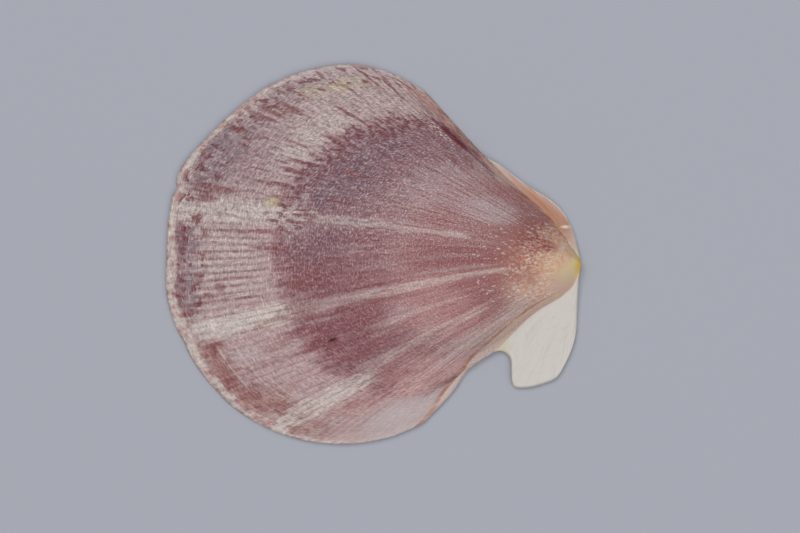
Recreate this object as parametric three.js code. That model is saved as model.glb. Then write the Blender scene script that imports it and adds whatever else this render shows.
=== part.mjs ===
// One valve of a fan shell: the right half of a scallop, lying on its rim with the ribbed
// outside up. Millimetres, +Z up, +X towards the beak, +Y towards the small ear.
// The shell is drawn from its beak outwards, because that is how it grew: growth runs from 0
// at the beak to 1 at the margin, and across runs from 0 at the small ear's side of the fan
// to 1 at the big ear's side. At the end the whole shell is moved so that the middle of its
// footprint is the origin.
import * as THREE from 'three';
import { ParametricGeometry } from 'three/addons/geometries/ParametricGeometry.js';
import { mergeGeometries, mergeVertices } from 'three/addons/utils/BufferGeometryUtils.js';

// Outlines seen from above, measured from the beak
const marginOutline = [
  [-15.6, 17.2], [-19.0, 19.0], [-22.9, 19.9], [-26.9, 19.4], [-30.8, 18.0],
  [-34.2, 15.6], [-37.3, 12.7], [-40.1, 9.3], [-41.2, 5.1], [-41.5, 0.8],
  [-41.4, -3.6], [-40.0, -7.6], [-37.7, -11.4], [-34.7, -14.5], [-31.0, -16.7],
  [-27.0, -17.9], [-22.9, -18.1], [-19.0, -17.4], [-15.7, -16.0],
];
const smallEarOutline = [
  [-8.3, 9.9], [-7.3, 9.1], [-5.4, 7.5], [-3.8, 6.5],
  [-2.4, 5.5], [-1.4, 4.2], [-0.7, 2.7], [-0.25, 1.2],
];
const bigEarOutline = [
  [-8.3, -8.8], [-7.6, -9.0], [-7.1, -9.7], [-7.0, -10.9], [-6.9, -12.0], [-6.5, -12.5],
  [-5.1, -12.5], [-3.6, -12.1], [-2.3, -11.5], [-1.3, -9.9], [-0.6, -8.2], [-0.2, -6.2],
];

// Where the ears leave the sides of the fan, in growth
const smallEarEnd = 0.62;
const bigEarEnd = 0.57;

// Ribs
const ribCount = 92;
const ribHeight = 0.06;
const ribStart = 0.08;
const ribFull = 0.3;
const marginScallop = 0.0012;
const fanTwist = THREE.MathUtils.degToRad(10);
const flankDip = THREE.MathUtils.degToRad(2);
const flankDipPlace = 0.68;
const flankDipReach = 0.09;
const smallEarFlare = THREE.MathUtils.degToRad(12);
const bigEarFlare = THREE.MathUtils.degToRad(32);
const smallEarFlareReach = 7.5;
const bigEarFlareReach = 4.2;
const bigHingeInset = 0.2;
const hingeInsetReach = 0.8;

// Heights
const domeHeight = 5.2;
const crownPlace = 0.42;
const umboFullness = 0.68;
const rimThickness = 0.6;
const beakThickness = 1.3;
const earEdge = 0.7;
const umboFill = 0.9;
const hingePlateEnd = 0.14;
const hingePlateFill = 4;
const foldPlace = -0.93;
const foldWidth = 0.035;
const foldDepth = 0.25;

// Rings of the mesh, in growth, before they are set to the ears' ends
const rings = [0, 0.06, 0.13, 0.22, 0.34, 0.47, 0.6, 0.73, 0.86, 0.985, 1];
const earRing = 6;
const smallEarColumns = 16;
const bigEarColumns = 24;

const toVectors = (outline) => outline.map(([x, y]) => new THREE.Vector2(x, y));
const marginCurve = new THREE.SplineCurve(toVectors(marginOutline));
const { lerp, smoothstep } = THREE.MathUtils;

// Growth of a ring where it crosses the fan, with the ears' end ring set askew
function growthOfRing(ring, across) {
  const earEnd = lerp(smallEarEnd, bigEarEnd, across);
  const position = rings[ring];
  const end = rings[earRing];
  return position <= end ? (position * earEnd) / end : 1 - ((1 - position) * (1 - earEnd)) / (1 - end);
}

const ribWave = (across) => Math.cos(2 * Math.PI * ribCount * across);

// Angles are measured about the beak, from the fan's middle line towards the big ear
const angleOf = (point) => Math.atan2(-point.y, -point.x);
const pointAt = (angle, reach) => new THREE.Vector2(-reach * Math.cos(angle), -reach * Math.sin(angle));

// The blunt young shell at the beak fills more than the fan's own angle
function beakFlare(side, distance) {
  const flare = side > 0 ? bigEarFlare : smallEarFlare;
  const flareReach = side > 0 ? bigEarFlareReach : smallEarFlareReach;
  return flare * side * Math.abs(side) * Math.exp(-((distance / flareReach) ** 2.4));
}

// A point of the fan seen from above: ribs run from the beak and bend towards the sides
function fanPoint(across, growth) {
  const margin = marginCurve.getPointAt(across);
  const side = 2 * across - 1;
  const middle = Math.cos((side * Math.PI) / 2) ** 2;
  const twist = fanTwist * (1 - growth) ** 2 * middle;
  const dipSide = Math.max(side, 0) ** 8;
  const dip = flankDip * dipSide * Math.exp(-(((growth - flankDipPlace) / flankDipReach) ** 2));
  const scallop = 1 + marginScallop * (ribWave(across) - 1) * smoothstep(growth, ribStart, ribFull);
  const reach = margin.length() * growth * scallop;
  const angle = angleOf(margin) - twist - dip + beakFlare(side, reach);
  return pointAt(angle, reach);
}

// Thickness at the edges of the fan, from the beak to the margin
const edgeHeight = (growth) => rimThickness + (beakThickness - rimThickness) * (1 - growth) ** 1.5;

// Height of the vault above the edges
function vault(across, growth) {
  const side = Math.abs(2 * across - 1);
  const towardsBeak = Math.max(1 - growth / crownPlace, 0);
  const towardsMargin = Math.max((growth - crownPlace) / (1 - crownPlace), 0);
  const lengthwise = (1 - towardsBeak ** 2.2) ** umboFullness - towardsMargin ** 2.1;
  const crosswise = Math.max(1 - side ** 2.4, 0) ** 0.7;
  return domeHeight * lengthwise * crosswise;
}

function outsideHeight(across, growth) {
  const side = 2 * across - 1;
  const rib = ribHeight * growth * ribWave(across) * smoothstep(growth, ribStart, ribFull);
  const foldReach = smoothstep(growth, 0.4, 0.6) * (1 - smoothstep(growth, 0.8, 0.95));
  const fold = foldDepth * foldReach * Math.exp(-(((side - foldPlace) / foldWidth) ** 2));
  return edgeHeight(growth) + vault(across, growth) + rib - fold;
}

function insideHeight(across, growth) {
  const lip = growth > 0.98;
  const hingePlate = hingePlateFill * Math.max(1 - growth / hingePlateEnd, 0);
  const hollow = vault(across, growth) - umboFill * (1 - growth) ** 2 - hingePlate;
  return lip ? 0 : Math.max(hollow, 0);
}

// The fan's outside or inside, as a surface over across and ring number
function fanSurface(heightAt) {
  return (across, stack, target) => {
    const growth = growthOfRing(Math.round(stack * (rings.length - 1)), across);
    const point = fanPoint(across, growth);
    target.set(point.x, point.y, heightAt(across, growth));
  };
}

// A point of an ear seen from above: the ear's sector narrows where the fan's side flares,
// and its hinge line stands back a little from the tip of the beak
function earPoint(ear, spread, reach) {
  if (spread === 0) return fanPoint(ear.across, ear.end * reach);
  const flat = ear.outline.getPoint(spread).multiplyScalar(reach);
  const distance = flat.length();
  const angle = angleOf(flat);
  const share = (angle - ear.rootAngle) / (ear.hingeAngle - ear.rootAngle);
  const fanSide = fanPoint(ear.across, Math.min(distance / ear.sideLength, ear.end));
  const flare = (angleOf(fanSide) - ear.rootAngle) * (1 - share);
  const inset = (ear.hingeInset * share * distance) / (distance ** 2 + hingeInsetReach ** 2);
  return pointAt(angle + flare - inset, distance);
}

// An ear is a thin plate spread from the fan's side to the hinge line
function earSurface(ear, isOutside) {
  return (spread, stack, target) => {
    const ring = Math.round(stack * earRing);
    const growth = growthOfRing(ring, ear.across);
    const reach = rings[ring] / rings[earRing];
    const point = earPoint(ear, spread, reach);
    const outside = lerp(outsideHeight(ear.across, growth), earEdge, smoothstep(spread, 0, 1) * reach);
    target.set(point.x, point.y, isOutside ? outside : 0);
  };
}

function makeEar(across, outlinePoints, columns, hingeInset) {
  const end = growthOfRing(earRing, across);
  const root = fanPoint(across, end);
  const sideLength = marginCurve.getPointAt(across).length();
  const outline = new THREE.SplineCurve([root, ...toVectors(outlinePoints)]);
  const rootAngle = angleOf(root);
  const hingeAngle = angleOf(outline.getPoint(1));
  return { across, end, outline, sideLength, rootAngle, hingeAngle, columns, hingeInset };
}

// A strip that closes the edge between the outside and the inside along one line
function edgeWall(outside, inside, lineAt, steps) {
  const top = new THREE.Vector3();
  const bottom = new THREE.Vector3();
  const wall = (along, down, target) => {
    const [u, v] = lineAt(along);
    outside(u, v, top);
    inside(u, v, bottom);
    target.lerpVectors(top, bottom, down);
  };
  return new ParametricGeometry(wall, steps, 1);
}

// Turns a surface over, so that its faces point the other way
function turned(geometry) {
  const index = geometry.index;
  for (let face = 0; face < index.count; face += 3) {
    const first = index.getX(face);
    index.setX(face, index.getX(face + 1));
    index.setX(face + 1, first);
  }
  return geometry;
}

// Joins the surfaces, merges their shared points and drops the faces that end in the beak
function closedShell(surfaces) {
  for (const surface of surfaces) {
    surface.deleteAttribute('normal');
    surface.deleteAttribute('uv');
  }
  const merged = mergeVertices(mergeGeometries(surfaces), 1e-4);
  const kept = [];
  for (let face = 0; face < merged.index.count; face += 3) {
    const corners = [0, 1, 2].map((corner) => merged.index.getX(face + corner));
    if (new Set(corners).size === 3) kept.push(...corners);
  }
  merged.setIndex(kept);
  return merged;
}

function makeValve() {
  const columns = 2 * ribCount;
  const ringSteps = rings.length - 1;
  const fanOutside = fanSurface(outsideHeight);
  const fanInside = fanSurface(insideHeight);
  const smallEar = makeEar(0, smallEarOutline, smallEarColumns, 0);
  const bigEar = makeEar(1, bigEarOutline, bigEarColumns, bigHingeInset);
  const earStack = earRing / ringSteps;
  const surfaces = [
    turned(new ParametricGeometry(fanOutside, columns, ringSteps)),
    new ParametricGeometry(fanInside, columns, ringSteps),
    edgeWall(fanInside, fanOutside, (along) => [along, 1], columns),
    edgeWall(fanInside, fanOutside, (along) => [0, lerp(earStack, 1, along)], ringSteps - earRing),
    edgeWall(fanOutside, fanInside, (along) => [1, lerp(earStack, 1, along)], ringSteps - earRing),
  ];
  for (const ear of [smallEar, bigEar]) {
    const outside = earSurface(ear, true);
    const inside = earSurface(ear, false);
    const parts = [
      turned(new ParametricGeometry(outside, ear.columns, earRing)),
      new ParametricGeometry(inside, ear.columns, earRing),
      edgeWall(inside, outside, (along) => [along, 1], ear.columns),
      edgeWall(outside, inside, (along) => [1, along], earRing),
    ];
    surfaces.push(...(ear === smallEar ? parts.map(turned) : parts));
  }
  return closedShell(surfaces);
}

const shellMaterial = new THREE.MeshStandardMaterial({ color: 0xa88284, roughness: 0.62, metalness: 0 });
const valve = new THREE.Mesh(makeValve(), shellMaterial);
valve.name = 'valve';

const footprint = new THREE.Box3().setFromObject(valve);
const centre = footprint.getCenter(new THREE.Vector3());
valve.geometry.translate(-centre.x, -centre.y, -footprint.min.z);

const fanShell = new THREE.Group();
fanShell.add(valve);

export default fanShell;
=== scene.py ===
import bisect
import bmesh
import bpy
import math
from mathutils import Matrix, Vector, noise


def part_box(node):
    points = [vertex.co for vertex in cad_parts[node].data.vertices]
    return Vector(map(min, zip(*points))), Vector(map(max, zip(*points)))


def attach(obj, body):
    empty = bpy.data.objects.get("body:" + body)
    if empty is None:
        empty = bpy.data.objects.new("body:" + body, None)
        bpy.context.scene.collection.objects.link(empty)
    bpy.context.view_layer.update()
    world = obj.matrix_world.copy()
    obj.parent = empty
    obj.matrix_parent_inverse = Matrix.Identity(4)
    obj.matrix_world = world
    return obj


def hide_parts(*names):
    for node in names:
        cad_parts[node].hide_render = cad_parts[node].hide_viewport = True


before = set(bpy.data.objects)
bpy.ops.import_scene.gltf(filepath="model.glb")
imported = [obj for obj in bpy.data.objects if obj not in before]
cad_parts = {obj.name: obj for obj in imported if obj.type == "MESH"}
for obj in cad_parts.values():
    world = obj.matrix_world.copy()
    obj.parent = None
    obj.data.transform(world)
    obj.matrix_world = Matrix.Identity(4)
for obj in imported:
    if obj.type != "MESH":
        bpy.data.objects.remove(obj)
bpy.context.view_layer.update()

# A single valve of a fan shell, lying on its rim with the ribbed side up.
# Every place on it has two numbers: 'across' is 0 at the small ear's side of the fan and
# 1 at the big ear's side, 'growth' is 0 at the beak and 1 at the margin.
# The ears add 'spread', from 0 at the fan to 1 at the hinge, and 'ear', -1 small and 1 big.
# Sizes are millimetres. Points are measured from the beak, with the margin towards minus x.

mm = 0.001
valveLow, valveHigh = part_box("valve")

fan = {
    'margin': [(-15.6, 17.2), (-19.0, 19.0), (-22.9, 19.9), (-26.9, 19.4), (-30.8, 18.0),
               (-34.2, 15.6), (-37.3, 12.7), (-40.1, 9.3), (-41.2, 5.1), (-41.5, 0.8),
               (-41.4, -3.6), (-40.0, -7.6), (-37.7, -11.4), (-34.7, -14.5), (-31.0, -16.7),
               (-27.0, -17.9), (-22.9, -18.1), (-19.0, -17.4), (-15.7, -16.0)],
    'twist': math.radians(10),       # how far the middle ribs lean near the beak
    'flankDip': math.radians(2),     # the hollow in the side below the notch
    'dipPlace': 0.68,
    'dipReach': 0.09,
    'dome': 5.1,                     # height of the arch above the edge
    'crown': 0.42,                   # the growth at which the arch is highest
    'flarePower': 2.4,               # the blunt young shell fills more than the fan's own angle
    'umboFullness': 0.68,            # below 1 the arch rises steeply from the beak
    'umboSide': 1.5,                 # above 1 the young shell's sides run out flat
    'sideFullness': 1.0,             # below 1 the sides drop steeply to the edge
    'rim': 0.55,                     # thickness at the margin
    'beak': 1.25,                    # thickness at the beak
    'edgeRadius': 0.32,
    'edgeLow': 0.07,                 # height of the outer edge above the floor
    'sideLean': 0.36,                # how obliquely the ribs reach the sides
    'edgeArc': 75,                   # about the margin's length
    'fold': 0.12, 'foldPlace': -0.925, 'foldWidth': 0.03,       # along the small ear's side
    'crease': 0.928,                 # where the ribs end beside the big ear
    'creaseMoves': [(0.042, 0.5, 0.7), (0.022, 0.75, 0.95)],    # added to it over that growth
    'beakPower': 2.2, 'marginPower': 2.1, 'sidePower': 2.4,     # curves of the arch
}
ribs = {
    'count': 92,
    'columnsEach': 6,                # columns of faces on each rib
    # heights at the margin's size of rib, and the growth where ribs of a size rise and fade
    'fine': 0.036, 'fineRise': (0.2, 0.45),
    'middle': 0.05, 'middleRise': (0.07, 0.2), 'middleFade': (0.35, 0.65), 'middleFaded': 0.8,
    'coarse': 0.08, 'coarseRise': (0.02, 0.08), 'coarseFade': (0.15, 0.4),
    'steps': 24, 'stepHeight': 0.03, 'stepWander': 1.2, 'stepRise': (0.2, 0.4),
    'growthLines': [(0.735, 0.03), (0.865, 0.025), (0.52, 0.02), (0.93, 0.02)],    # growth, depth
    'lineFront': 0.012, 'lineBack': 0.08,      # a growth line's steep and its gentle slope
    'scale': 0.03,                             # roughness of the ribs
    'marginScallop': 0.0006,
    # nicks in the margin: across, half width, depth
    'nicks': [(0.41, 0.007, 0.008), (0.205, 0.009, 0.003), (0.62, 0.010, 0.003),
              (0.70, 0.008, 0.002)],
}
# an ear leaves the fan's side at 'end', and its outline runs from there to the hinge
ears = {
    'small': {'side': 0, 'sign': -1, 'end': 0.62, 'inset': 0, 'groove': 0.04,
              'hingeLength': 2.5,
              'flare': math.radians(12), 'flareReach': 7.5,
              'outline': [(-8.3, 9.9), (-7.3, 9.1), (-5.4, 7.5), (-3.8, 6.5),
                          (-2.4, 5.5), (-1.4, 4.2), (-0.7, 2.7), (-0.25, 1.2)]},
    'big': {'side': 1, 'sign': 1, 'end': 0.57, 'inset': 0.2, 'groove': 0.02,
            'hingeLength': 4.0,
            'flare': math.radians(32), 'flareReach': 4.2,
            'outline': [(-8.3, -8.8), (-7.6, -9.0), (-7.1, -9.7), (-7.0, -10.9), (-6.9, -12.0),
                        (-6.5, -12.5), (-5.1, -12.5), (-3.6, -12.1), (-2.3, -11.5), (-1.3, -9.9),
                        (-0.6, -8.2), (-0.2, -6.2)]},
}
ear = {
    'edge': 0.62, 'insetReach': 0.8, 'hollow': 0.16,
    'riblets': 13, 'riblet': 0.006, 'linePace': 60, 'line': 0.008,
    'groovePlace': 0.05, 'grooveWidth': 0.035,
}
mesh = {
    'ringsToEar': 66, 'ringsToMargin': 74, 'earEndMiddle': 0.6,
    'lipStart': 0.986, 'lipGaps': (0.0095, 0.0055, 0.0028, 0.001, 0.0),
    # how many columns join, up to that growth, so that no face near the beak is a sliver
    'joinTop': [(0.03, 24), (0.1, 12), (0.3, 3), (math.inf, 1)],
    # the smooth inside needs fewer columns and rings, except next to the lip
    'joinUnder': [(0.06, 24), (0.16, 12), (0.7, 6), (math.inf, 3)], 'joinRings': 4, 'lipRings': 5,
    # the same for the ears, where the top's columns join up to that ring
    'earColumns': 48, 'earCrowding': 1.35, 'earRingCrowding': 1.5,
    'joinEar': [(4, 12), (11, 4), (math.inf, 1)], 'joinEarUnder': 2,
    'mergeWithin': 0.0002,
}


def smooth(value, low, high):
    step = min(max((value - low) / (high - low), 0.0), 1.0)
    return step * step * (3 - 2 * step)


def between(first, second, part):
    return first + (second - first) * part


def bell(value, middle, width):
    return math.exp(-((value - middle) / width) ** 2)


def splinePoint(points, fraction):
    place = fraction * (len(points) - 1)
    start = min(int(place), len(points) - 2)
    part = place - start
    before, first, second, after = (
        Vector(points[min(max(start + step, 0), len(points) - 1)]) for step in (-1, 0, 1, 2))
    leave, arrive = (second - before) / 2, (after - first) / 2
    return ((2 * first - 2 * second + leave + arrive) * part ** 3
            + (3 * second - 3 * first - 2 * leave - arrive) * part ** 2 + leave * part + first)


def evenCurve(points, samples=800):
    # the same curve, walked at an even pace
    line = [splinePoint(points, step / samples) for step in range(samples + 1)]
    lengths = [0.0]
    for first, second in zip(line, line[1:]):
        lengths.append(lengths[-1] + (second - first).length)

    def pointAt(fraction):
        wanted = fraction * lengths[-1]
        step = min(max(bisect.bisect_left(lengths, wanted), 1), samples)
        part = (wanted - lengths[step - 1]) / (lengths[step] - lengths[step - 1])
        return line[step - 1].lerp(line[step], part)
    return pointAt


columns = ribs['count'] * ribs['columnsEach']
marginAt = evenCurve(fan['margin'])
marginPoints = [marginAt(column / columns) for column in range(columns + 1)]
beakY = valveHigh.y / mm - max(point.y for point in marginPoints)
earRing = mesh['ringsToEar']
earEndMiddle = mesh['earEndMiddle']
ringStops = [earEndMiddle * ring / earRing for ring in range(earRing)]
ringStops += [between(earEndMiddle, mesh['lipStart'], ring / mesh['ringsToMargin'])
              for ring in range(mesh['ringsToMargin'])]
ringStops += [1 - gap for gap in mesh['lipGaps']]
lastRing = len(ringStops) - 1


def growthOf(ring, across):
    # ring earRing meets the end of each ear, although the big ear ends nearer to the beak
    end = between(ears['small']['end'], ears['big']['end'], across)
    stop = ringStops[ring]
    if stop <= earEndMiddle:
        return stop * end / earEndMiddle
    return 1 - (1 - stop) * (1 - end) / (1 - earEndMiddle)


def wave(count, across):
    return math.cos(2 * math.pi * count * across)


def angleOf(point):
    return math.atan2(-point[1], -point[0])


def placeAt(angle, reach):
    return -reach * math.cos(angle), -reach * math.sin(angle)


def beakFlare(side, reach):
    one = ears['big'] if side > 0 else ears['small']
    return one['flare'] * side * abs(side) * math.exp(-(reach / one['flareReach']) ** fan['flarePower'])


def fanPlace(across, growth):
    margin = marginPoints[round(across * columns)]
    side = 2 * across - 1
    lean = fan['twist'] * (1 - growth) ** 2 * math.cos(side * math.pi / 2) ** 2
    dip = fan['flankDip'] * max(side, 0) ** 8 * bell(growth, fan['dipPlace'], fan['dipReach'])
    inset = 1 + ribs['marginScallop'] * (wave(ribs['count'], across) - 1) * smooth(growth, 0.1, 0.3)
    for place, width, depth in ribs['nicks']:
        inset -= depth * bell(across, place, width) * smooth(growth, 0.93, 1.0)
    reach = margin.length * growth * inset
    return placeAt(angleOf(margin) - lean - dip + beakFlare(side, reach), reach)


def edgeHeight(growth):
    return fan['rim'] + (fan['beak'] - fan['rim']) * (1 - growth) ** 1.5


def creaseAt(growth):
    # where the ribs end on the big ear's side and a smooth pale strip starts
    moves = (added * smooth(growth, start, end) for added, start, end in fan['creaseMoves'])
    return fan['crease'] + sum(moves)


def vault(across, growth):
    # height of the smooth arch, which stops at the crease on the big ear's side
    side = 2 * across - 1
    if side > 0:
        side /= 1 - (2 - 2 * creaseAt(growth)) * smooth(growth, 0.3, 0.6)
    sideFullness = between(fan['umboSide'], fan['sideFullness'], smooth(growth, 0.12, 0.5))
    side = min(abs(side), 1.0)
    towardsBeak = max(1 - growth / fan['crown'], 0)
    towardsMargin = max((growth - fan['crown']) / (1 - fan['crown']), 0)
    lengthwise = (max(1 - towardsBeak ** fan['beakPower'], 0) ** fan['umboFullness']
                  - towardsMargin ** fan['marginPower'])
    return fan['dome'] * lengthwise * max(1 - side ** fan['sidePower'], 0) ** sideFullness


def relief(across, growth):
    # ribs of three sizes, growth steps and lines, and roughness on the ribs
    place = across * ribs['count']
    uneven = 0.75 + 0.5 * noise.noise(Vector((round(place) * 3.7, growth * 3, 1.3)))
    fine = ribs['fine'] * growth * smooth(growth, *ribs['fineRise']) * wave(ribs['count'], across) * uneven
    middle = (ribs['middle'] * growth * smooth(growth, *ribs['middleRise'])
              * (1 - ribs['middleFaded'] * smooth(growth, *ribs['middleFade']))
              * wave(ribs['count'] / 2, across))
    coarse = (ribs['coarse'] * growth * smooth(growth, *ribs['coarseRise'])
              * (1 - smooth(growth, *ribs['coarseFade']))
              * wave(ribs['count'] / 4, across))
    wander = noise.noise(Vector((across * 9, growth * 4, 5.1)))
    phase = (growth * ribs['steps'] + ribs['stepWander'] * wander) % 1.0
    steps = ribs['stepHeight'] * (0.5 - phase) * smooth(growth, *ribs['stepRise'])
    lines = 0
    for start, depth in ribs['growthLines']:
        bottom = start + ribs['lineFront']
        lines -= (depth * smooth(growth + 0.006 * wander, start, bottom)
                  * (1 - smooth(growth, bottom, start + ribs['lineBack'])))
    rough = between(1.0, 0.45, smooth(across, 0.3, 0.55)) * smooth(growth, 0.03, 0.12)
    scales = (ribs['scale'] * rough * noise.noise(Vector((place * 1.1, growth * 55, 8.8)))
              * (0.6 + 0.4 * wave(ribs['count'], across)))
    return fine + middle + coarse + steps + lines + scales


def edgeRound(distance):
    part = 1 - min(distance / fan['edgeRadius'], 1.0)
    return math.sqrt(max(1 - part * part, 0))


def sideDistance(across, growth):
    # how far a place is from the free side of the fan, where no ear covers it
    nearest = 'big' if across > 0.5 else 'small'
    free = smooth(growth, ears[nearest]['end'], ears[nearest]['end'] + 0.03)
    distance = min(across, 1 - across) * fan['edgeArc'] * fan['sideLean'] * growth
    return between(fan['edgeRadius'], distance, free)


def outsideHeight(across, growth):
    side = 2 * across - 1
    foldReach = smooth(growth, 0.4, 0.6) * (1 - smooth(growth, 0.8, 0.95))
    fold = fan['fold'] * foldReach * bell(side, fan['foldPlace'], fan['foldWidth'])
    calm = smooth(min(across, 1 - across), 0.0, 0.02)
    # the strip past the crease is nearly smooth
    calm *= 1 - 0.85 * smooth(across, 0.84, 0.9) * smooth(growth, 0.6, 0.75)
    height = edgeHeight(growth) + vault(across, growth) + relief(across, growth) * calm - fold
    marginDistance = (1 - growth) * marginPoints[round(across * columns)].length
    rounding = edgeRound(marginDistance) * edgeRound(sideDistance(across, growth))
    return between(fan['edgeLow'], height, rounding)


inside = {
    'fill': 0.9,        # thickness added towards the beak
    'plateEnd': 0.14, 'plateFill': 4.0,
    'furrow': 0.05,     # at the margin, one for every two ribs
    'scarPlace': (0.56, 0.43), 'scarSize': (0.13, 0.16), 'scarDepth': 0.07,
    # in the hinge plate
    'pit': 0.55, 'pitWidth': 0.3, 'pitStart': 0.012, 'pitEnd': 0.15,
}


def insideHeight(across, growth):
    if growth > 1 - mesh['lipGaps'][-2] / 2:
        return fan['edgeLow']
    side = 2 * across - 1
    plate = inside['plateFill'] * max(1 - growth / inside['plateEnd'], 0)
    hollow = vault(across, growth) - inside['fill'] * (1 - growth) ** 2 - plate
    furrow = -inside['furrow'] * wave(ribs['count'] / 2, across) * smooth(growth, 0.72, 0.94)
    scarAcross = (across - inside['scarPlace'][0]) / inside['scarSize'][0]
    scarGrowth = (growth - inside['scarPlace'][1]) / inside['scarSize'][1]
    scar = inside['scarDepth'] * (1 - smooth(math.hypot(scarAcross, scarGrowth), 0.85, 1.0))
    hollow += (furrow + scar) * smooth(hollow, 0.1, 0.6)
    pitReach = smooth(growth, inside['pitStart'], 0.04) * (1 - smooth(growth, 0.1, inside['pitEnd']))
    pit = inside['pit'] * pitReach * (1 - smooth(abs(side), inside['pitWidth'] * 0.5, inside['pitWidth']))
    return 0.0 if growth > 0.975 else max(hollow, pit, 0.0)


def earPlace(one, ring, spread):
    # an ear spreads from the fan's side to the hinge, and its rings crowd towards its edge
    growth = growthOf(ring, one['side'])
    even = ringStops[ring] / earEndMiddle
    crowded = 1 - (1 - even) ** mesh['earRingCrowding']
    reach = between(even, crowded, smooth(spread, 0, 0.2))
    if spread == 0:
        return *fanPlace(one['side'], growth), growth, even
    flat = splinePoint(one['points'], spread) * reach
    distance, angle = flat.length, angleOf(flat)
    share = (angle - one['rootAngle']) / (one['hingeAngle'] - one['rootAngle'])
    fanSide = fanPlace(one['side'], min(distance / one['sideLength'], one['end']))
    flare = (angleOf(fanSide) - one['rootAngle']) * (1 - share)
    inset = one['inset'] * share * distance / (distance ** 2 + ear['insetReach'] ** 2)
    return *placeAt(angle + flare - inset, distance), growth, reach


def rimDistance(one, spread, reach):
    # how far a place on an ear is from the ear's free edge or its hinge
    fromEdge = (1 - reach) * one['reachLength'](spread)
    fromHinge = (1 - spread) * one['hingeLength'] * max(reach, 0.02)
    return min(fromEdge, fromHinge)


def earHeight(one, ring, spread, reach, growth, rim, under):
    if spread == 0:
        onTop = ring == earRing or not under
        return outsideHeight(one['side'], growth) if onTop else insideHeight(one['side'], growth)
    away = smooth(spread, 0.0, 0.06)
    if under:
        atEdge = ring == earRing or spread >= 1
        hollow = smooth(rim, 0.6, 2.2) * smooth(spread, 0.05, 0.3) * smooth(reach, 0.3, 0.6)
        return fan['edgeLow'] if atEdge else ear['hollow'] * hollow
    if ring == 0:
        return fan['edgeLow']
    height = between(outsideHeight(one['side'], growth), ear['edge'], smooth(spread, 0, 0.8) * reach)
    groove = one['groove'] * bell(spread, ear['groovePlace'], ear['grooveWidth'])
    groove *= smooth(reach, 0.1, 0.4) * away
    riblet = ear['riblet'] * wave(ear['riblets'], spread) * away * smooth(reach, 0.15, 0.4)
    wander = noise.noise(Vector((spread * 6, reach * 3, 2.2)))
    line = ear['line'] * math.sin(reach * ear['linePace'] + 2 * wander) * away
    rounding = between(1.0, edgeRound(rim), smooth(spread, 0.0, 0.25) if rim > 0 else 1.0)
    return between(fan['edgeLow'], height - groove + riblet + line, rounding)


def makeEars():
    # what follows from each ear's outline and the fan's side
    for one in ears.values():
        root = fanPlace(one['side'], one['end'])
        one['points'] = [root] + one['outline']
        one['rootAngle'] = angleOf(root)
        one['hingeAngle'] = angleOf(one['outline'][-1])
        one['sideLength'] = marginPoints[one['side'] * columns].length
        one['reachLength'] = lambda spread, points=one['points']: splinePoint(points, spread).length


def joined(number, steps, place=0):
    # the column or ring that this one joins: steps is one number or a list by place
    step = steps if isinstance(steps, int) else next(step for end, step in steps if place < end)
    return round(number / step) * step


def joinedUnder(column, ring, freeEdge):
    # nothing joins along the edge that the inside shares with the outside
    if ring == lastRing or (freeEdge and column in (0, columns)):
        return column, ring
    column = joined(column, mesh['joinUnder'], ringStops[ring])
    nearLip = ring >= lastRing - len(mesh['lipGaps']) - mesh['lipRings']
    return column, ring if nearLip else joined(ring, mesh['joinRings'])


def paint(red, green, blue):
    # a screen colour, 0 to 255, as a shader colour
    def linear(value):
        value /= 255
        return value / 12.92 if value <= 0.04045 else ((value + 0.055) / 1.055) ** 2.4
    return linear(red), linear(green), linear(blue), 1.0


tints = {
    'cream': paint(204, 194, 184),
    'lilac': paint(182, 168, 167),
    'sand': paint(184, 165, 158),
    'peach': paint(188, 158, 142),
    'rose': paint(174, 130, 127),
    'mauve': paint(150, 118, 122),
    'wine': paint(118, 58, 62),
    'maroon': paint(98, 32, 38),
    'plum': paint(98, 74, 88),
    'slate': paint(78, 68, 78),
    'frost': paint(206, 198, 198),
    'blush': paint(206, 172, 166),
    'brick': paint(142, 88, 76),
    'tan': paint(180, 148, 124),
    'apricot': paint(188, 132, 100),
    'rust': paint(150, 94, 66),
    'russet': paint(128, 60, 56),
    'yellow': paint(204, 168, 74),
    'paleYellow': paint(200, 180, 128),
    'yellowStain': paint(200, 190, 140),
    'olive': paint(184, 172, 136),
    'soot': paint(56, 24, 28),
    'umboCream': paint(210, 186, 168),
    'white': paint(226, 220, 212),
    'earTan': paint(170, 128, 106),
    'earCream': paint(193, 188, 180),
    'earShade': paint(178, 173, 162),
    'nacre': paint(222, 208, 200),
    'nacreRose': paint(196, 160, 160),
    'scar': paint(232, 224, 216),
}

# ground colour of the fan, from the beak to the margin
ground = [
    (0.00, paint(196, 174, 138)), (0.06, paint(188, 154, 126)), (0.10, paint(164, 121, 106)),
    (0.15, paint(142, 91, 85)), (0.22, paint(138, 92, 89)), (0.32, paint(142, 97, 97)),
    (0.43, paint(149, 109, 109)), (0.52, paint(136, 94, 96)), (0.62, paint(124, 80, 85)),
    (0.70, paint(130, 87, 91)), (0.728, paint(148, 107, 110)), (0.748, paint(173, 145, 143)),
    (0.84, paint(175, 149, 146)), (0.91, paint(170, 143, 141)), (0.96, paint(180, 155, 151)),
    (1.00, paint(190, 170, 164)),
]

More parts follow.
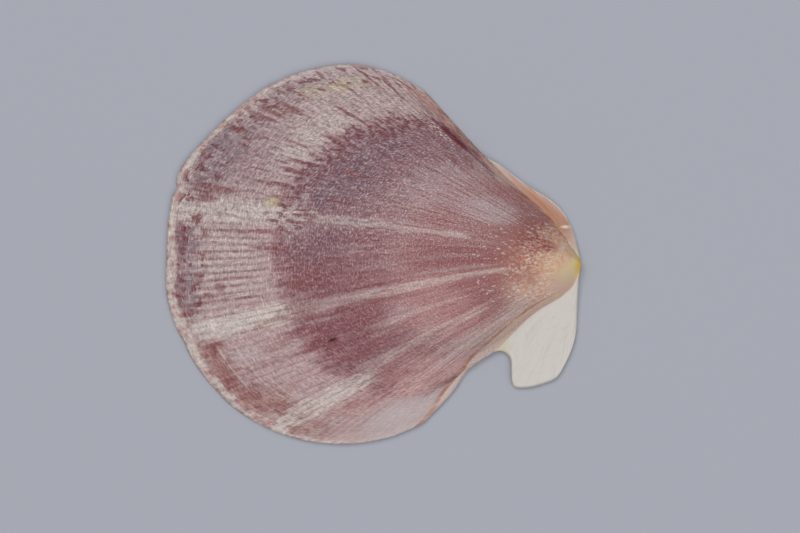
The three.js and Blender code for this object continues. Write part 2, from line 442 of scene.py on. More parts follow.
# large patches: tint, across, growth, half sizes across and along the growth, strength
patches = [
    ('sand', 0.14, 0.83, 0.10, 0.10, 0.45),
    ('sand', 0.09, 0.925, 0.045, 0.050, 0.60),
    ('lilac', 0.15, 0.97, 0.06, 0.020, 0.55),
    ('sand', 0.20, 0.91, 0.24, 0.06, 0.25),
    ('cream', 0.27, 0.79, 0.07, 0.05, 0.35),
    ('brick', 0.02, 0.84, 0.05, 0.10, 0.35),
    ('olive', 0.15, 0.91, 0.06, 0.030, 0.35),
    ('plum', 0.22, 0.950, 0.05, 0.025, 0.30),
    ('plum', 0.325, 0.972, 0.035, 0.022, 0.50),
    ('plum', 0.35, 0.925, 0.07, 0.045, 0.50),
    ('mauve', 0.34, 0.85, 0.06, 0.045, 0.55),
    ('wine', 0.065, 0.64, 0.040, 0.080, 0.50),
    ('mauve', 0.13, 0.62, 0.05, 0.08, 0.25),
    ('plum', 0.22, 0.66, 0.05, 0.06, 0.30),
    ('plum', 0.33, 0.64, 0.07, 0.085, 0.45),
    ('lilac', 0.24, 0.44, 0.12, 0.08, 0.30),
    ('lilac', 0.245, 0.29, 0.09, 0.07, 0.50),
    ('brick', 0.05, 0.33, 0.06, 0.10, 0.45),
    ('tan', 0.00, 0.50, 0.035, 0.12, 0.50),
    ('sand', 0.03, 0.47, 0.06, 0.08, 0.60),
    ('wine', 0.34, 0.125, 0.12, 0.045, 0.85),
    ('wine', 0.17, 0.18, 0.08, 0.040, 0.35),
    ('wine', 0.53, 0.30, 0.055, 0.11, 0.45),
    ('wine', 0.56, 0.60, 0.045, 0.10, 0.40),
    ('plum', 0.485, 0.64, 0.03, 0.08, 0.25),
    ('plum', 0.48, 0.955, 0.025, 0.030, 0.65),
    ('plum', 0.55, 0.950, 0.045, 0.035, 0.60),
    ('wine', 0.53, 0.972, 0.07, 0.016, 0.40),
    ('wine', 0.67, 0.62, 0.055, 0.11, 0.50),
    ('wine', 0.67, 0.945, 0.06, 0.014, 0.50),
    ('brick', 0.69, 0.945, 0.07, 0.030, 0.45),
    ('brick', 0.745, 0.92, 0.025, 0.05, 0.50),
    ('brick', 0.83, 0.95, 0.03, 0.04, 0.40),
    ('rose', 0.72, 0.40, 0.12, 0.10, 0.45),
    ('rose', 0.87, 0.60, 0.08, 0.12, 0.60),
    ('blush', 0.90, 0.60, 0.05, 0.14, 0.50),
    ('rose', 0.84, 0.80, 0.04, 0.07, 0.50),
    ('lilac', 0.93, 0.84, 0.06, 0.11, 0.75),
    # painted light: the next patch lightens the sloping side by the crease, where the lamps leave it in shade
    ('sand', 0.885, 0.38, 0.05, 0.13, 0.60),
    ('brick', 0.60, 0.155, 0.17, 0.045, 0.60),
    ('peach', 0.89, 0.15, 0.20, 0.09, 0.80),
    ('sand', 0.91, 0.22, 0.10, 0.10, 0.50),
    ('tan', 0.96, 0.30, 0.05, 0.20, 0.55),
    ('lilac', 0.43, 0.69, 0.05, 0.03, 0.40),
    ('wine', 0.36, 0.115, 0.07, 0.035, 0.45),
    ('lilac', 0.96, 0.97, 0.04, 0.04, 0.60),
    ('blush', 0.885, 0.70, 0.035, 0.04, 0.45),
    ('wine', 0.70, 0.985, 0.07, 0.016, 0.50),
]

# pale rays: across, half width, first and last growth, strength
rays = [
    (0.432, 0.017, 0.70, 1.00, 0.62), (0.432, 0.014, 0.28, 0.70, 0.38),
    (0.608, 0.017, 0.72, 0.96, 0.92), (0.612, 0.012, 0.17, 0.71, 0.42),
    (0.790, 0.018, 0.68, 1.00, 0.74), (0.770, 0.012, 0.30, 0.68, 0.40),
    (0.365, 0.004, 0.30, 0.70, 0.20), (0.690, 0.006, 0.30, 0.56, 0.30),
    (0.835, 0.008, 0.20, 0.60, 0.25), (0.870, 0.006, 0.30, 0.60, 0.25),
]


# noise cells on the fan: how many across and along the growth, seed, detail
grains = {
    'weft': (240, 160, 1, 1.0),
    'stitch': (150, 260, 2, 1.0),
    'thread': (300, 50, 3, 1.0),
    'streak': (150, 12, 4, 2.0),
    'wideStreak': (46, 5, 5, 2.0),
    'mottle': (44, 24, 6, 3.0),
    'ribRun': (ribs['count'], 9, 7, 2.0),
    'blotch': (75, 36, 8, 2.0),
    'speck': (200, 80, 9, 2.0),
    'lineRun': (46, 9, 10, 1.0),
    'veinRun': (66, 7, 13, 2.0),
    'dashRun': (130, 46, 14, 1.0),
    'scratch': (30, 230, 11, 3.0),
}


def unevenness(across, growth, name):
    acrossCount, growthCount, seed = grains[name][:3]
    place = Vector((across * acrossCount, growth * growthCount, seed))
    return 0.35 * noise.noise(place) + 0.17 * noise.noise(place * 2)


def window(value, low, high, soft):
    # 1 between low and high, with soft ends
    return smooth(value, low - soft, low + soft) * (1 - smooth(value, high - soft, high + soft))


def rampAt(stops, value):
    for (low, first), (high, second) in zip(stops, stops[1:]):
        if value <= high:
            return Vector(first).lerp(Vector(second), min(max((value - low) / (high - low), 0.0), 1.0))
    return Vector(stops[-1][1])


def pigmentAt(across, growth):
    # the soft colours of the fan, with bands that end a little differently on every rib
    mottle = unevenness(across, growth, 'mottle')
    shift = 0.10 * unevenness(across, growth, 'ribRun') + 0.04 * mottle
    band = growth + shift * window(growth, 0.2, 0.95, 0.04)
    # near the beak the bands lie further out on both sides
    young = band - (across - 0.36) ** 2 * between(0.36, 0.0, smooth(growth, 0.1, 0.4))
    color = rampAt(ground, young)
    sideways = across + 0.04 * mottle
    for tint, placeAcross, placeGrowth, halfAcross, halfGrowth, strength in patches:
        reach = math.hypot((sideways - placeAcross) / halfAcross, (band - placeGrowth) / halfGrowth)
        if reach < 1.45:
            color = color.lerp(Vector(tints[tint]), strength * (1 - smooth(reach, 0.55, 1.45)))
    streak = smooth(unevenness(across, growth, 'streak'), -0.2, 0.1)
    sideways = across + 0.012 * mottle
    raySoft = 0.008
    for middle, halfWidth, start, end, strength in rays:
        if abs(sideways - middle) < halfWidth + raySoft:
            part = window(sideways, middle - halfWidth, middle + halfWidth, raySoft)
            part *= window(band, start, end, 0.02)
            color = color.lerp(Vector(tints['cream']), part * strength * between(0.6, 1.0, streak))
    return band, young, color


def buildValve():
    shape = bmesh.new()
    layers = {name: shape.verts.layers.float.new(name)
              for name in ('across', 'growth', 'spread', 'ear', 'rim', 'band', 'young')}
    layers['pigment'] = shape.verts.layers.float_color.new('pigment')
    beakPlace = Vector((valveHigh.x / mm, beakY, 0))
    earColumns = mesh['earColumns']

    def sheet(columnCount, ringCount, placeOf, finish):
        # a flat grid, whose points then go to their places on the valve
        made = bmesh.ops.create_grid(shape, x_segments=columnCount, y_segments=ringCount, size=0.5)['verts']
        for face in {face for vertex in made for face in vertex.link_faces}:
            face.material_index = finish
        for vertex in made:
            column = round((vertex.co.x + 0.5) * columnCount)
            ring = round((vertex.co.y + 0.5) * ringCount)
            position, facts = placeOf(column, ring)
            vertex.co = (Vector(position) + beakPlace) * mm
            for name, value in facts.items():
                vertex[layers[name]] = value

    def fanTop(column, ring):
        across = joined(column, mesh['joinTop'], ringStops[ring]) / columns
        growth = growthOf(ring, across)
        x, y = fanPlace(across, growth)
        band, young, pigment = pigmentAt(across, growth)
        return (x, y, outsideHeight(across, growth)), {'across': across, 'growth': growth, 'band': band,
                                                       'young': young, 'pigment': pigment}

    def fanUnder(column, ring):
        column, ring = joinedUnder(column, ring, ring >= earRing)
        across = column / columns
        growth = growthOf(ring, across)
        x, y = fanPlace(across, growth)
        onSide = ring >= earRing and column in (0, columns)
        height = outsideHeight(across, growth) if onSide else insideHeight(across, growth)
        return (x, y, height), {'across': across, 'growth': growth}

    def earSheet(one, under):
        def place(column, ring):
            if not under:
                column = joined(column, mesh['joinEar'], ring)
            elif ring < earRing and column < earColumns:
                ring = min(joined(ring, mesh['joinRings']), earRing - 2)
                column = min(joined(column, mesh['joinEarUnder']), earColumns - 2)
            spread = 1 - (1 - column / earColumns) ** mesh['earCrowding']
            x, y, growth, reach = earPlace(one, ring, spread)
            rim = rimDistance(one, spread, reach)
            height = earHeight(one, ring, spread, reach, growth, rim, under)
            return (x, y, height), {'across': one['side'], 'growth': growth, 'spread': spread,
                                    'ear': one['sign'], 'rim': rim}
        return place

    sheet(columns, lastRing, fanTop, 0)
    sheet(columns, lastRing, fanUnder, 1)
    for one in ears.values():
        sheet(earColumns, earRing, earSheet(one, False), 0)
        sheet(earColumns, earRing, earSheet(one, True), 1)
    return shape


def finishMesh(shape, name, materials):
    bmesh.ops.remove_doubles(shape, verts=shape.verts, dist=mesh['mergeWithin'] * mm)
    bmesh.ops.recalc_face_normals(shape, faces=shape.faces)
    for face in shape.faces:
        face.smooth = True
    print('open edges:', sum(edge.is_boundary or not edge.is_manifold for edge in shape.edges))
    made = bpy.data.meshes.new(name)
    shape.to_mesh(made)
    shape.free()
    for material in materials:
        made.materials.append(material)
    piece = bpy.data.objects.new(name, made)
    bpy.context.collection.objects.link(piece)
    return piece


class Painter:
    # builds one material's nodes, one small step at a time
    def __init__(self, name):
        self.material = bpy.data.materials.new(name)
        self.material.use_nodes = True
        self.tree = self.material.node_tree
        self.shader = self.tree.nodes['Principled BSDF']
        self.shader.location = (1400, 0)
        self.tree.nodes['Material Output'].location = (1700, 0)
        self.count = 0

    def add(self, kind, values, **settings):
        made = self.tree.nodes.new(kind)
        made.location = (200 * (self.count % 6) - 100, -220 * (self.count // 6))
        self.count += 1
        for key, value in settings.items():
            setattr(made, key, value)
        for key, value in values.items():
            self.feed(value, made.inputs[key])
        return made

    def feed(self, value, socket):
        if isinstance(value, bpy.types.NodeSocket):
            self.tree.links.new(value, socket)
        else:
            socket.default_value = value

    def attribute(self, name, output='Fac'):
        return self.add('ShaderNodeAttribute', {}, attribute_name=name).outputs[output]

    def objectPlace(self):
        return self.add('ShaderNodeTexCoord', {}).outputs['Object']

    def sum(self, operation, *values):
        return self.add('ShaderNodeMath', dict(enumerate(values)), operation=operation).outputs[0]

    def times(self, *values):
        product = values[0]
        for value in values[1:]:
            product = self.sum('MULTIPLY', product, value)
        return product

    def plus(self, first, second):
        return self.sum('ADD', first, second)

    def most(self, first, second):
        return self.sum('MAXIMUM', first, second)

    def without(self, value):
        return self.sum('SUBTRACT', 1.0, value)

    def rise(self, value, low, high, start=0.0, end=1.0):
        made = self.add('ShaderNodeMapRange',
                        {'Value': value, 'From Min': low, 'From Max': high, 'To Min': start, 'To Max': end},
                        interpolation_type='SMOOTHSTEP')
        return made.outputs['Result']

    def fall(self, value, low, high, end=0.0):
        return self.rise(value, low, high, 1.0, end)

    def window(self, value, low, high, soft):
        # 1 between low and high, with soft ends
        return self.times(self.rise(value, low - soft, low + soft),
                          self.fall(value, high - soft, high + soft))

    def place(self, *values):
        return self.add('ShaderNodeCombineXYZ', dict(enumerate(values))).outputs[0]

    def grain(self, vector, scale=1.0, detail=2.0, roughness=0.5):
        made = self.add('ShaderNodeTexNoise',
                        {'Vector': vector, 'Scale': scale, 'Detail': detail, 'Roughness': roughness})
        return made.outputs['Fac']

    def blob(self, place, centre, size, soft=0.45):
        # 1 inside an oval, falling to 0 across its soft edge
        scale = (1 / size[0], 1 / size[1], 0)
        offset = (-centre[0] / size[0], -centre[1] / size[1], 0)
        moved = self.add('ShaderNodeMapping', {'Vector': place, 'Location': offset, 'Scale': scale})
        reach = self.add('ShaderNodeVectorMath', {0: moved.outputs[0]}, operation='LENGTH')
        return self.fall(reach.outputs['Value'], 1 - soft, 1 + soft)

    def ramp(self, value, stops):
        made = self.add('ShaderNodeValToRGB', {'Fac': value})
        elements = made.color_ramp.elements
        while len(elements) < len(stops):
            elements.new(0.5)
        for element, (position, level) in zip(elements, stops):
            element.position = position
            element.color = (level, level, level, 1)
        return made.outputs['Color']

    def mix(self, part, first, second):
        made = self.add('ShaderNodeMix', {}, data_type='RGBA')
        self.feed(part, made.inputs['Factor'])
        self.feed(first, made.inputs[6])
        self.feed(second, made.inputs[7])
        return made.outputs[2]

    def lay(self, color, tint, *shares):
        # a tint over a colour, as strong as all its shares multiplied
        return self.mix(self.times(*shares), color, tints[tint])

    def bump(self, height, distance, strength):
        values = {'Height': height, 'Distance': distance, 'Strength': strength}
        return self.add('ShaderNodeBump', values).outputs['Normal']


class FanPainter(Painter):
    # a painter that also knows the places, the ribs and the grains of the outside
    def __init__(self, name):
        super().__init__(name)
        self.across, self.growth = self.attribute('across'), self.attribute('growth')
        self.spread, self.earSign = self.attribute('spread'), self.attribute('ear')
        self.onObject = self.objectPlace()
        rib = self.times(self.across, float(ribs['count']))
        self.ribPart = self.sum('PINGPONG', rib, 0.5)         # 0 on a rib's crest, 0.5 between two ribs
        self.pairPart = self.sum('PINGPONG', self.times(rib, 0.5), 0.5)     # 0 on every second rib
        self.grains = {name: self.cells(*values) for name, values in grains.items()}
        self.band, self.young = self.attribute('band'), self.attribute('young')
        self.onFan = self.place(self.across, self.growth, 0.0)
        self.pigment = self.attribute('pigment', 'Color')
        self.calm = self.times(self.rise(self.across, 0.82, 0.9), self.rise(self.growth, 0.66, 0.78), 0.85)
        self.onRibs = self.times(self.rise(self.growth, 0.12, 0.24), self.without(self.calm))
        self.lowerHalf = self.rise(self.across, 0.42, 0.6)

    def cells(self, acrossCount, growthCount, seed, detail):
        place = self.place(self.times(self.across, float(acrossCount)),
                           self.times(self.growth, float(growthCount)), float(seed))
        return self.grain(place, 1.0, detail, 0.55)

    def where(self, name, low, high, start=0.0, end=1.0):
        # where a grain rises from low to high
        return self.rise(self.grains[name], low, high, start, end)

    def halves(self, upper, lower):
        # a strength for the upper half of the fan, and another for the lower half
        return self.plus(upper, self.times(self.lowerHalf, lower - upper))


# small stains, and one painted lightening of shade: tint, across, growth, half sizes across and along the
# growth, strength
stainsAndPaintedLight = [
    ('yellowStain', 0.409, 0.756, 0.011, 0.020, 0.32),
    ('yellowStain', 0.190, 0.930, 0.014, 0.012, 0.25),
    ('yellowStain', 0.155, 0.905, 0.016, 0.014, 0.25),
    ('wine', 0.534, 0.920, 0.008, 0.012, 0.60),
    ('wine', 0.550, 0.868, 0.008, 0.012, 0.50),
    ('maroon', 0.060, 0.645, 0.013, 0.070, 0.95),
    # painted light: this peach spot lightens the steep side by the small ear, which is in shade
    ('peach', 0.008, 0.490, 0.030, 0.070, 0.85),
    ('russet', 0.340, 0.110, 0.100, 0.035, 0.40),
    ('brick', 0.700, 0.150, 0.060, 0.030, 0.45),
    ('soot', 0.684, 0.662, 0.0032, 0.012, 1.00),
]

# strengths of the markings, one or one for each half of the fan, and some of their places
markings = {
    'ribShare': (0.5, 1.0), 'redRibs': 0.45, 'paleRibs': 0.35, 'groovesTintAndShade': 0.30,
    'ribLines': (0.62, 0.32), 'veins': (0.62, 0.30), 'blotches': 0.75,
    'stripePlace': (0.53, 0.86), 'stripeSize': (0.08, 0.09), 'stripes': 0.50, 'stripeDots': 0.6,
    'scratches': (0.10, 0.35), 'paleRings': (0.862, 0.883, 0.925), 'ringStrength': 0.5,
    # the share of the specks from the small ear's side to the big ear's
    'speckShare': [(0.0, 0.35), (0.08, 0.8), (0.38, 0.9), (0.46, 0.6), (0.62, 0.35), (1.0, 0.2)],
    'darkSpecks': 0.75, 'darkDashes': 0.38, 'paleDashes': 0.30, 'paleSpecks': 0.26,
    'hairs': (0.32, 0.20), 'deepRed': 0.48,
    'apricot': 0.65, 'youngFade': 0.03,
    # flecks of the young shell, the cream strokes of the last row being painted highlights along the ribs:
    # tint, cells, level of the noise, growth from and to, strength
    'flecksAndHighlights': [('umboCream', (52, 66, 15, 2.0), (0.50, 0.62), (0.03, 0.15), 0.55),
               ('rust', (70, 80, 16, 2.0), (0.54, 0.64), (0.07, 0.20), 0.45),
               ('cream', (64, 70, 12, 1.0), (0.62, 0.70), (0.12, 0.26), 0.55)],
    # place, size and strength of the painted highlights on the dark streak
    'glintPlace': (0.084, 0.67), 'glintSize': (0.012, 0.07), 'glints': 0.75,
    'margin': 0.62, 'flank': 0.6, 'crease': 0.75,
    # places in millimetres from the beak, and half sizes
    'crackPlace': (-1.55, 3.6), 'crackSize': (0.45, 0.14),
    'tipPlace': (-0.1, -0.3),
    'tips': [('paleYellow', (0.95, 1.25), 0.8), ('yellow', (0.5, 0.85), 0.9)],
    'cloth': 2.9, 'clothDepth': 0.00012,
}


def paintRibs(p, color):
    # each rib has its own share of pigment, with dark lines and veins between the ribs; the wine in the
    # grooves of the outer half is partly pigment and partly painted shade
    share = p.times(p.onRibs, p.halves(*markings['ribShare']))
    color = p.lay(color, 'wine', p.where('wideStreak', 0.5, 0.75), share, markings['redRibs'])
    color = p.lay(color, 'lilac', p.fall(p.grains['wideStreak'], 0.25, 0.5), share, markings['paleRibs'])
    outer = p.times(p.rise(p.growth, 0.4, 0.6), p.without(p.calm))
    # the grooves between the ribs darkened, partly their pigment and partly painted shade
    groovesTintAndShade = p.times(p.rise(p.ribPart, 0.24, 0.44), p.where('streak', 0.35, 0.6), outer)
    color = p.lay(color, 'wine', groovesTintAndShade, markings['groovesTintAndShade'])
    lines = p.times(p.rise(p.pairPart, 0.26, 0.44), p.where('lineRun', 0.42, 0.60), p.onRibs,
                    p.fall(p.growth, 0.4, 0.6))
    color = p.lay(color, 'russet', lines, p.halves(*markings['ribLines']))
    veins = p.times(p.where('veinRun', 0.56, 0.66), p.rise(p.growth, 0.3, 0.5), p.without(p.calm),
                    p.halves(*markings['veins']))
    return p.lay(color, 'russet', veins), veins


def paintStripes(p, color):
    # a block of pale stripes beside the middle of the margin, dotted dark between its ribs
    block = p.times(p.blob(p.onFan, markings['stripePlace'], markings['stripeSize'], 0.4),
                    p.where('ribRun', 0.35, 0.6, 0.2, 1.0))
    crests = p.times(p.fall(p.ribPart, 0.1, 0.34), p.where('thread', 0.3, 0.6, 0.5, 1.0))
    color = p.lay(color, 'cream', block, crests, markings['stripes'])
    dots = p.times(block, p.rise(p.ribPart, 0.26, 0.42), p.where('speck', 0.42, 0.6))
    return p.lay(color, 'plum', dots, markings['stripeDots'])


def paintBlotches(p, color):
    # dark blotches where the dark band starts and along the margin, but not on the pale ray
    bandStart = p.times(p.window(p.band, 0.67, 0.745, 0.015), p.fall(p.across, 0.40, 0.5, 0.3))
    atMargin = p.times(p.window(p.growth, 0.90, 0.985, 0.015), p.fall(p.across, 0.5, 0.7, 0.5),
                       p.fall(p.across, 0.80, 0.87), p.without(p.window(p.across, 0.590, 0.625, 0.006)))
    blotches = p.most(p.times(p.where('dashRun', 0.48, 0.60), bandStart, markings['blotches']),
                      p.times(p.where('blotch', 0.54, 0.62), atMargin, markings['blotches']))
    red = p.mix(p.where('mottle', 0.45, 0.6), tints['wine'], tints['russet'])
    return p.mix(blotches, color, red), blotches


def paintScratches(p, color):
    # growth lines scratched pale, mostly across the lower half, with three clear ones
    color = p.lay(color, 'cream', p.where('scratch', 0.56, 0.72), p.rise(p.growth, 0.6, 0.8),
                  p.halves(*markings['scratches']))
    moved = 0.005       # what the mottle adds to the growth on average
    for ring in markings['paleRings']:
        uneven = p.plus(p.growth, p.times(p.grains['mottle'], 2 * moved))
        line = p.times(p.window(uneven, ring + moved - 0.001, ring + moved + 0.001, 0.003),
                       p.window(p.across, 0.61, 0.82, 0.03), p.where('lineRun', 0.35, 0.6))
        color = p.lay(color, 'white', line, markings['ringStrength'])
    return color


def paintSpecks(p, color):
    # dark specks and dashes in the plum zones, pale specks and hairs nearly everywhere
    share = p.ramp(p.across, markings['speckShare'])
    color = p.lay(color, 'slate', p.where('weft', 0.50, 0.64), share, p.rise(p.growth, 0.3, 0.6),
                  markings['darkSpecks'])
    dashes = p.times(p.window(p.growth, 0.44, 0.985, 0.05), share, p.without(p.calm))
    color = p.lay(color, 'slate', p.where('dashRun', 0.52, 0.66), dashes, markings['darkDashes'])
    color = p.lay(color, 'lilac', p.fall(p.grains['dashRun'], 0.32, 0.46), dashes, markings['paleDashes'])
    color = p.lay(color, 'frost', p.where('speck', 0.56, 0.70), share,
                  p.window(p.growth, 0.2, 0.97, 0.05), markings['paleSpecks'])
    hairs = p.times(p.where('stitch', 0.48, 0.70), p.window(p.growth, 0.2, 0.985, 0.05),
                    p.halves(*markings['hairs']), p.where('mottle', 0.35, 0.60, 0.45, 1.1),
                    p.without(p.calm))
    return p.mix(hairs, color, p.mix(p.lowerHalf, tints['frost'], tints['blush']))


def paintYoungShell(p, color, flecked):
    # the young shell is blotched with apricot, dotted with cream and flecked, and its ribs get short painted
    # highlights
    net = p.add('ShaderNodeTexVoronoi', {'Vector': p.onObject, 'Scale': 2500.0, 'Randomness': 0.95},
                voronoi_dimensions='2D')
    knots = p.fall(net.outputs['Distance'], 0.12, 0.48)
    fade = markings['youngFade']
    color = p.lay(color, 'apricot', p.rise(p.grain(p.onObject, 3300.0, 2.0), 0.46, 0.60),
                  p.window(p.young, 0.025, 0.14, fade), markings['apricot'])
    color = p.lay(color, 'cream', knots, p.window(p.young, 0.04, 0.17, fade),
                  p.rise(flecked, 0.35, 0.6, 0.10, 0.42))
    for tint, cells, level, reach, strength in markings['flecksAndHighlights']:
        color = p.lay(color, tint, p.rise(p.cells(*cells), *level), p.window(p.young, *reach, fade), strength)
    return color


def paintGlints(p, color):
    # painted highlights: pale glints of light on the dark streak near the upper side
    return p.lay(color, 'white', p.blob(p.onFan, markings['glintPlace'], markings['glintSize'], 0.5),
                 p.where('stitch', 0.50, 0.60), p.where('dashRun', 0.42, 0.5), markings['glints'])


def paintMargin(p, color):
    # the pale margin with its blotches, a little wider in the lower half
    width = p.times(p.window(p.across, 0.46, 0.80, 0.03), 0.010)
    uneven = p.times(p.plus(p.grains['mottle'], -0.5), 0.03)
    edge = p.rise(p.plus(p.plus(p.growth, width), uneven), 0.980, 0.990)
    pale = p.mix(p.where('blotch', 0.40, 0.68), tints['cream'], tints['rose'])
    return p.mix(p.times(edge, markings['margin']), color, pale)


def paintSides(p, color):
    # the tan side by the small ear
    paler = p.without(p.times(p.window(p.growth, 0.38, 0.56, 0.04), 0.7))
    flank = p.times(p.fall(p.across, 0.010, 0.055), p.fall(p.growth, 0.93, 0.99), paler)
    brown = p.mix(p.where('mottle', 0.4, 0.6), tints['brick'], tints['tan'])
    color = p.mix(p.times(flank, markings['flank']), color, brown)

    # the small stains, and the painted light on the steep side
    for tint, placeAcross, placeGrowth, halfAcross, halfGrowth, strength in stainsAndPaintedLight:
        tintShare = p.blob(p.onFan, (placeAcross, placeGrowth), (halfAcross, halfGrowth))
        color = p.lay(color, tint, tintShare, p.where('blotch', 0.3, 0.55, 0.5, 1.0), strength)

    # the crease by the big ear, and the smooth strip past it
    moves = [p.rise(p.growth, start, end, 0.0, added) for added, start, end in fan['creaseMoves']]
    past = p.sum('SUBTRACT', p.plus(p.across, -fan['crease']), p.plus(*moves))
    crease = p.times(p.window(past, -0.008, 0.003, 0.005), p.rise(p.growth, 0.10, 0.20))
    rusty = p.mix(p.where('mottle', 0.4, 0.6), tints['rust'], tints['tan'])
    color = p.mix(p.times(crease, markings['crease']), color, rusty)
    strip = p.times(p.rise(past, 0.001, 0.008), p.rise(p.growth, 0.12, 0.2))
    return p.mix(strip, color, p.mix(p.rise(p.growth, 0.2, 0.65), tints['peach'], tints['sand']))


def paintEars(p, color, flecked):
    bigEar = p.times(p.rise(p.earSign, 0.3, 0.7), p.rise(p.spread, 0.0, 0.02))
    smallEar = p.times(p.fall(p.earSign, -0.7, -0.3), p.rise(p.spread, 0.0, 0.02))
    riblet = p.grain(p.place(p.times(p.spread, 40.0), p.times(p.growth, 5.0), 0.0), 1.0, 3.0)
    rings = p.grain(p.place(p.times(p.spread, 6.0), p.times(p.growth, 70.0), 3.0), 1.0, 3.0)

    # pale and greyish, with a yellow stain along the fan
    bigColor = p.lay(tints['earCream'], 'earShade', p.rise(riblet, 0.45, 0.7), 0.45)
    bigColor = p.lay(bigColor, 'earShade', p.rise(rings, 0.5, 0.75), 0.5)
    tintShare = p.times(p.window(p.spread, -0.1, 0.16, 0.08), p.rise(p.growth, 0.42, 0.55))
    bigColor = p.lay(bigColor, 'olive', tintShare, p.rise(rings, 0.35, 0.6, 0.4, 1.0), 0.7)
    color = p.mix(bigEar, color, bigColor)

    # tan and apricot, with a worn pale edge
    smallColor = p.lay(tints['earTan'], 'sand', p.rise(p.growth, 0.30, 0.58))
    smallColor = p.lay(smallColor, 'apricot', p.rise(flecked, 0.45, 0.6), 0.35)
    smallColor = p.lay(smallColor, 'rust', p.rise(riblet, 0.42, 0.62), 0.45)
    worn = p.fall(p.plus(p.attribute('rim'), p.times(flecked, 0.4)), 0.35, 0.85)
    smallColor = p.lay(smallColor, 'earCream', worn, 0.85)
    return p.mix(smallEar, color, smallColor), p.most(bigEar, smallEar)


def paintBeak(p, color, flecked):
    # a white crack at the small ear's root, and the yellow tip of the beak
    def spot(place, size, soft):
        centre = (valveHigh.x + place[0] * mm, (beakY + place[1]) * mm)
        return p.blob(p.onObject, centre, (size[0] * mm, size[1] * mm), soft)

    color = p.lay(color, 'white', spot(markings['crackPlace'], markings['crackSize'], 0.8),
                  p.rise(flecked, 0.3, 0.6, 0.2, 0.7))
    for tint, size, strength in markings['tips']:
        color = p.lay(color, tint, spot(markings['tipPlace'], size, 0.6), strength)
    return color


def outsideFinish():
    p = FanPainter('shellOutside')
    color, veins = paintRibs(p, p.pigment)
    color = paintStripes(p, color)
    color, blotches = paintBlotches(p, color)
    color = paintScratches(p, color)
    color = paintSpecks(p, color)
    color = p.lay(color, 'maroon', p.most(blotches, p.times(veins, 0.8)), markings['deepRed'])
    flecked = p.grain(p.onObject, 900.0, 3.0)
    color = paintYoungShell(p, color, flecked)
    color = paintGlints(p, color)
    color = paintMargin(p, color)
    color = paintSides(p, color)
    color, onEars = paintEars(p, color, flecked)
    color = paintBeak(p, color, flecked)

    # the cloth of fine lines lightens and darkens everything a little
    cloth = p.plus(p.plus(p.times(p.grains['weft'], 0.32), p.times(p.grains['stitch'], 0.28)),
                   p.plus(p.times(p.grains['thread'], 0.22), p.times(p.grains['scratch'], 0.18)))
    clothShare = p.times(p.without(onEars), p.rise(p.growth, 0.10, 0.26), p.without(p.times(p.calm, 0.6)))
    shade = p.plus(1.0, p.times(p.plus(cloth, -0.5), clothShare, markings['cloth']))
    color = p.add('ShaderNodeVectorMath', {0: color, 'Scale': shade}, operation='SCALE').outputs['Vector']

    p.feed(color, p.shader.inputs['Base Color'])
    p.feed(p.where('weft', 0.3, 0.7, 0.46, 0.66), p.shader.inputs['Roughness'])
    p.shader.inputs['Specular IOR Level'].default_value = 0.25
    p.feed(p.bump(p.times(cloth, clothShare), markings['clothDepth'], 0.9), p.shader.inputs['Normal'])
    return p.material


def insideFinish():
    p = Painter('shellInside')
    across, growth = p.attribute('across'), p.attribute('growth')
    patch = p.grain(p.objectPlace(), 180.0, 3.0, 0.5)
    color = p.mix(p.rise(patch, 0.35, 0.65), tints['nacre'], tints['cream'])
    tinge = p.times(p.rise(growth, 0.6, 0.95), p.rise(patch, 0.3, 0.7))
    color = p.mix(p.times(tinge, 0.5), color, tints['nacreRose'])
    scarAcross = p.times(p.sum('SUBTRACT', across, inside['scarPlace'][0]), 1 / inside['scarSize'][0])
    scarGrowth = p.times(p.sum('SUBTRACT', growth, inside['scarPlace'][1]), 1 / inside['scarSize'][1])
    scarReach = p.sum('SQRT', p.plus(p.times(scarAcross, scarAcross), p.times(scarGrowth, scarGrowth)))
    color = p.mix(p.rise(scarReach, 0.88, 1.0, 0.7, 0.0), color, tints['scar'])
    p.feed(color, p.shader.inputs['Base Color'])
    p.feed(p.rise(patch, 0.3, 0.7, 0.22, 0.34), p.shader.inputs['Roughness'])
    p.shader.inputs['Coat Weight'].default_value = 0.25
    p.shader.inputs['Coat Roughness'].default_value = 0.15
    return p.material


makeEars()
valve = finishMesh(buildValve(), 'scallopValve', [outsideFinish(), insideFinish()])
triangles = sum(len(face.vertices) - 2 for face in valve.data.polygons)
print('valve:', len(valve.data.vertices), 'points,', triangles, 'triangles')
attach(valve, "root")
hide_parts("valve")

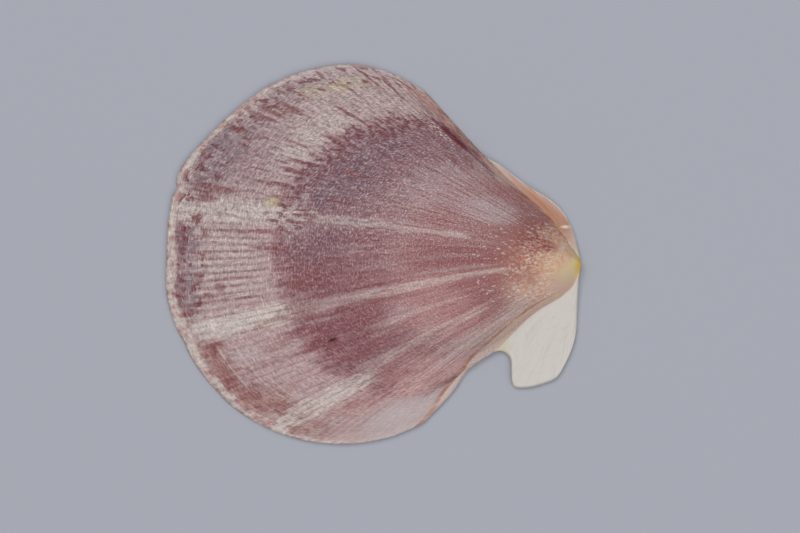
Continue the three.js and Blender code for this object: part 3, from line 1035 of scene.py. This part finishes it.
studio = {
    'floorSize': 3.0,
    'floorDrop': 0.00003,
    'floorTint': paint(158, 160, 168),
    'keyPlace': (-0.16, 0.30, 0.66), 'keySize': 0.5, 'keyPower': 2.7,
    'fillPlace': (0.25, -0.30, 0.60), 'fillSize': 0.7, 'fillPower': 2.3,
    'skyTint': (0.84, 0.86, 0.92), 'skyPower': 0.46,
    'lens': 200.0, 'sensor': 36.0, 'viewWidth': 80.0,
    'viewCentre': (-18.1, -0.35),       # from the beak, millimetres
}


def makeStudio():
    floorMesh = bpy.data.meshes.new('floor')
    shape = bmesh.new()
    bmesh.ops.create_grid(shape, x_segments=1, y_segments=1, size=studio['floorSize'] / 2)
    bmesh.ops.translate(shape, verts=shape.verts, vec=(0, 0, -studio['floorDrop']))
    shape.to_mesh(floorMesh)
    shape.free()
    floor = bpy.data.objects.new('floor', floorMesh)
    bpy.context.collection.objects.link(floor)
    p = Painter('paperFloor')
    p.shader.inputs['Base Color'].default_value = studio['floorTint']
    p.shader.inputs['Roughness'].default_value = 0.9
    floorMesh.materials.append(p.material)

    for name in ('key', 'fill'):
        lamp = bpy.data.lights.new(name, 'AREA')
        lamp.shape = 'DISK'
        lamp.size = studio[name + 'Size']
        lamp.energy = studio[name + 'Power']
        holder = bpy.data.objects.new(name, lamp)
        holder.location = studio[name + 'Place']
        holder.rotation_euler = (-Vector(holder.location)).to_track_quat('-Z', 'Y').to_euler()
        bpy.context.collection.objects.link(holder)

    world = bpy.context.scene.world or bpy.data.worlds.new('sky')
    bpy.context.scene.world = world
    world.use_nodes = True
    background = world.node_tree.nodes['Background']
    background.inputs['Color'].default_value = (*studio['skyTint'], 1)
    background.inputs['Strength'].default_value = studio['skyPower']


def makeCamera():
    lens = bpy.data.cameras.new('camera')
    lens.lens = studio['lens']
    lens.sensor_width = studio['sensor']
    camera = bpy.data.objects.new('camera', lens)
    x = valveHigh.x + studio['viewCentre'][0] * mm
    y = (beakY + studio['viewCentre'][1]) * mm
    height = studio['viewWidth'] * mm * studio['lens'] / studio['sensor']
    camera.location = (x, y, height)
    lens.clip_start, lens.clip_end = height * 0.1, height * 20
    bpy.context.collection.objects.link(camera)
    bpy.context.scene.camera = camera


makeStudio()
makeCamera()
bpy.context.scene.view_settings.view_transform = 'Standard'
print('studio ready')
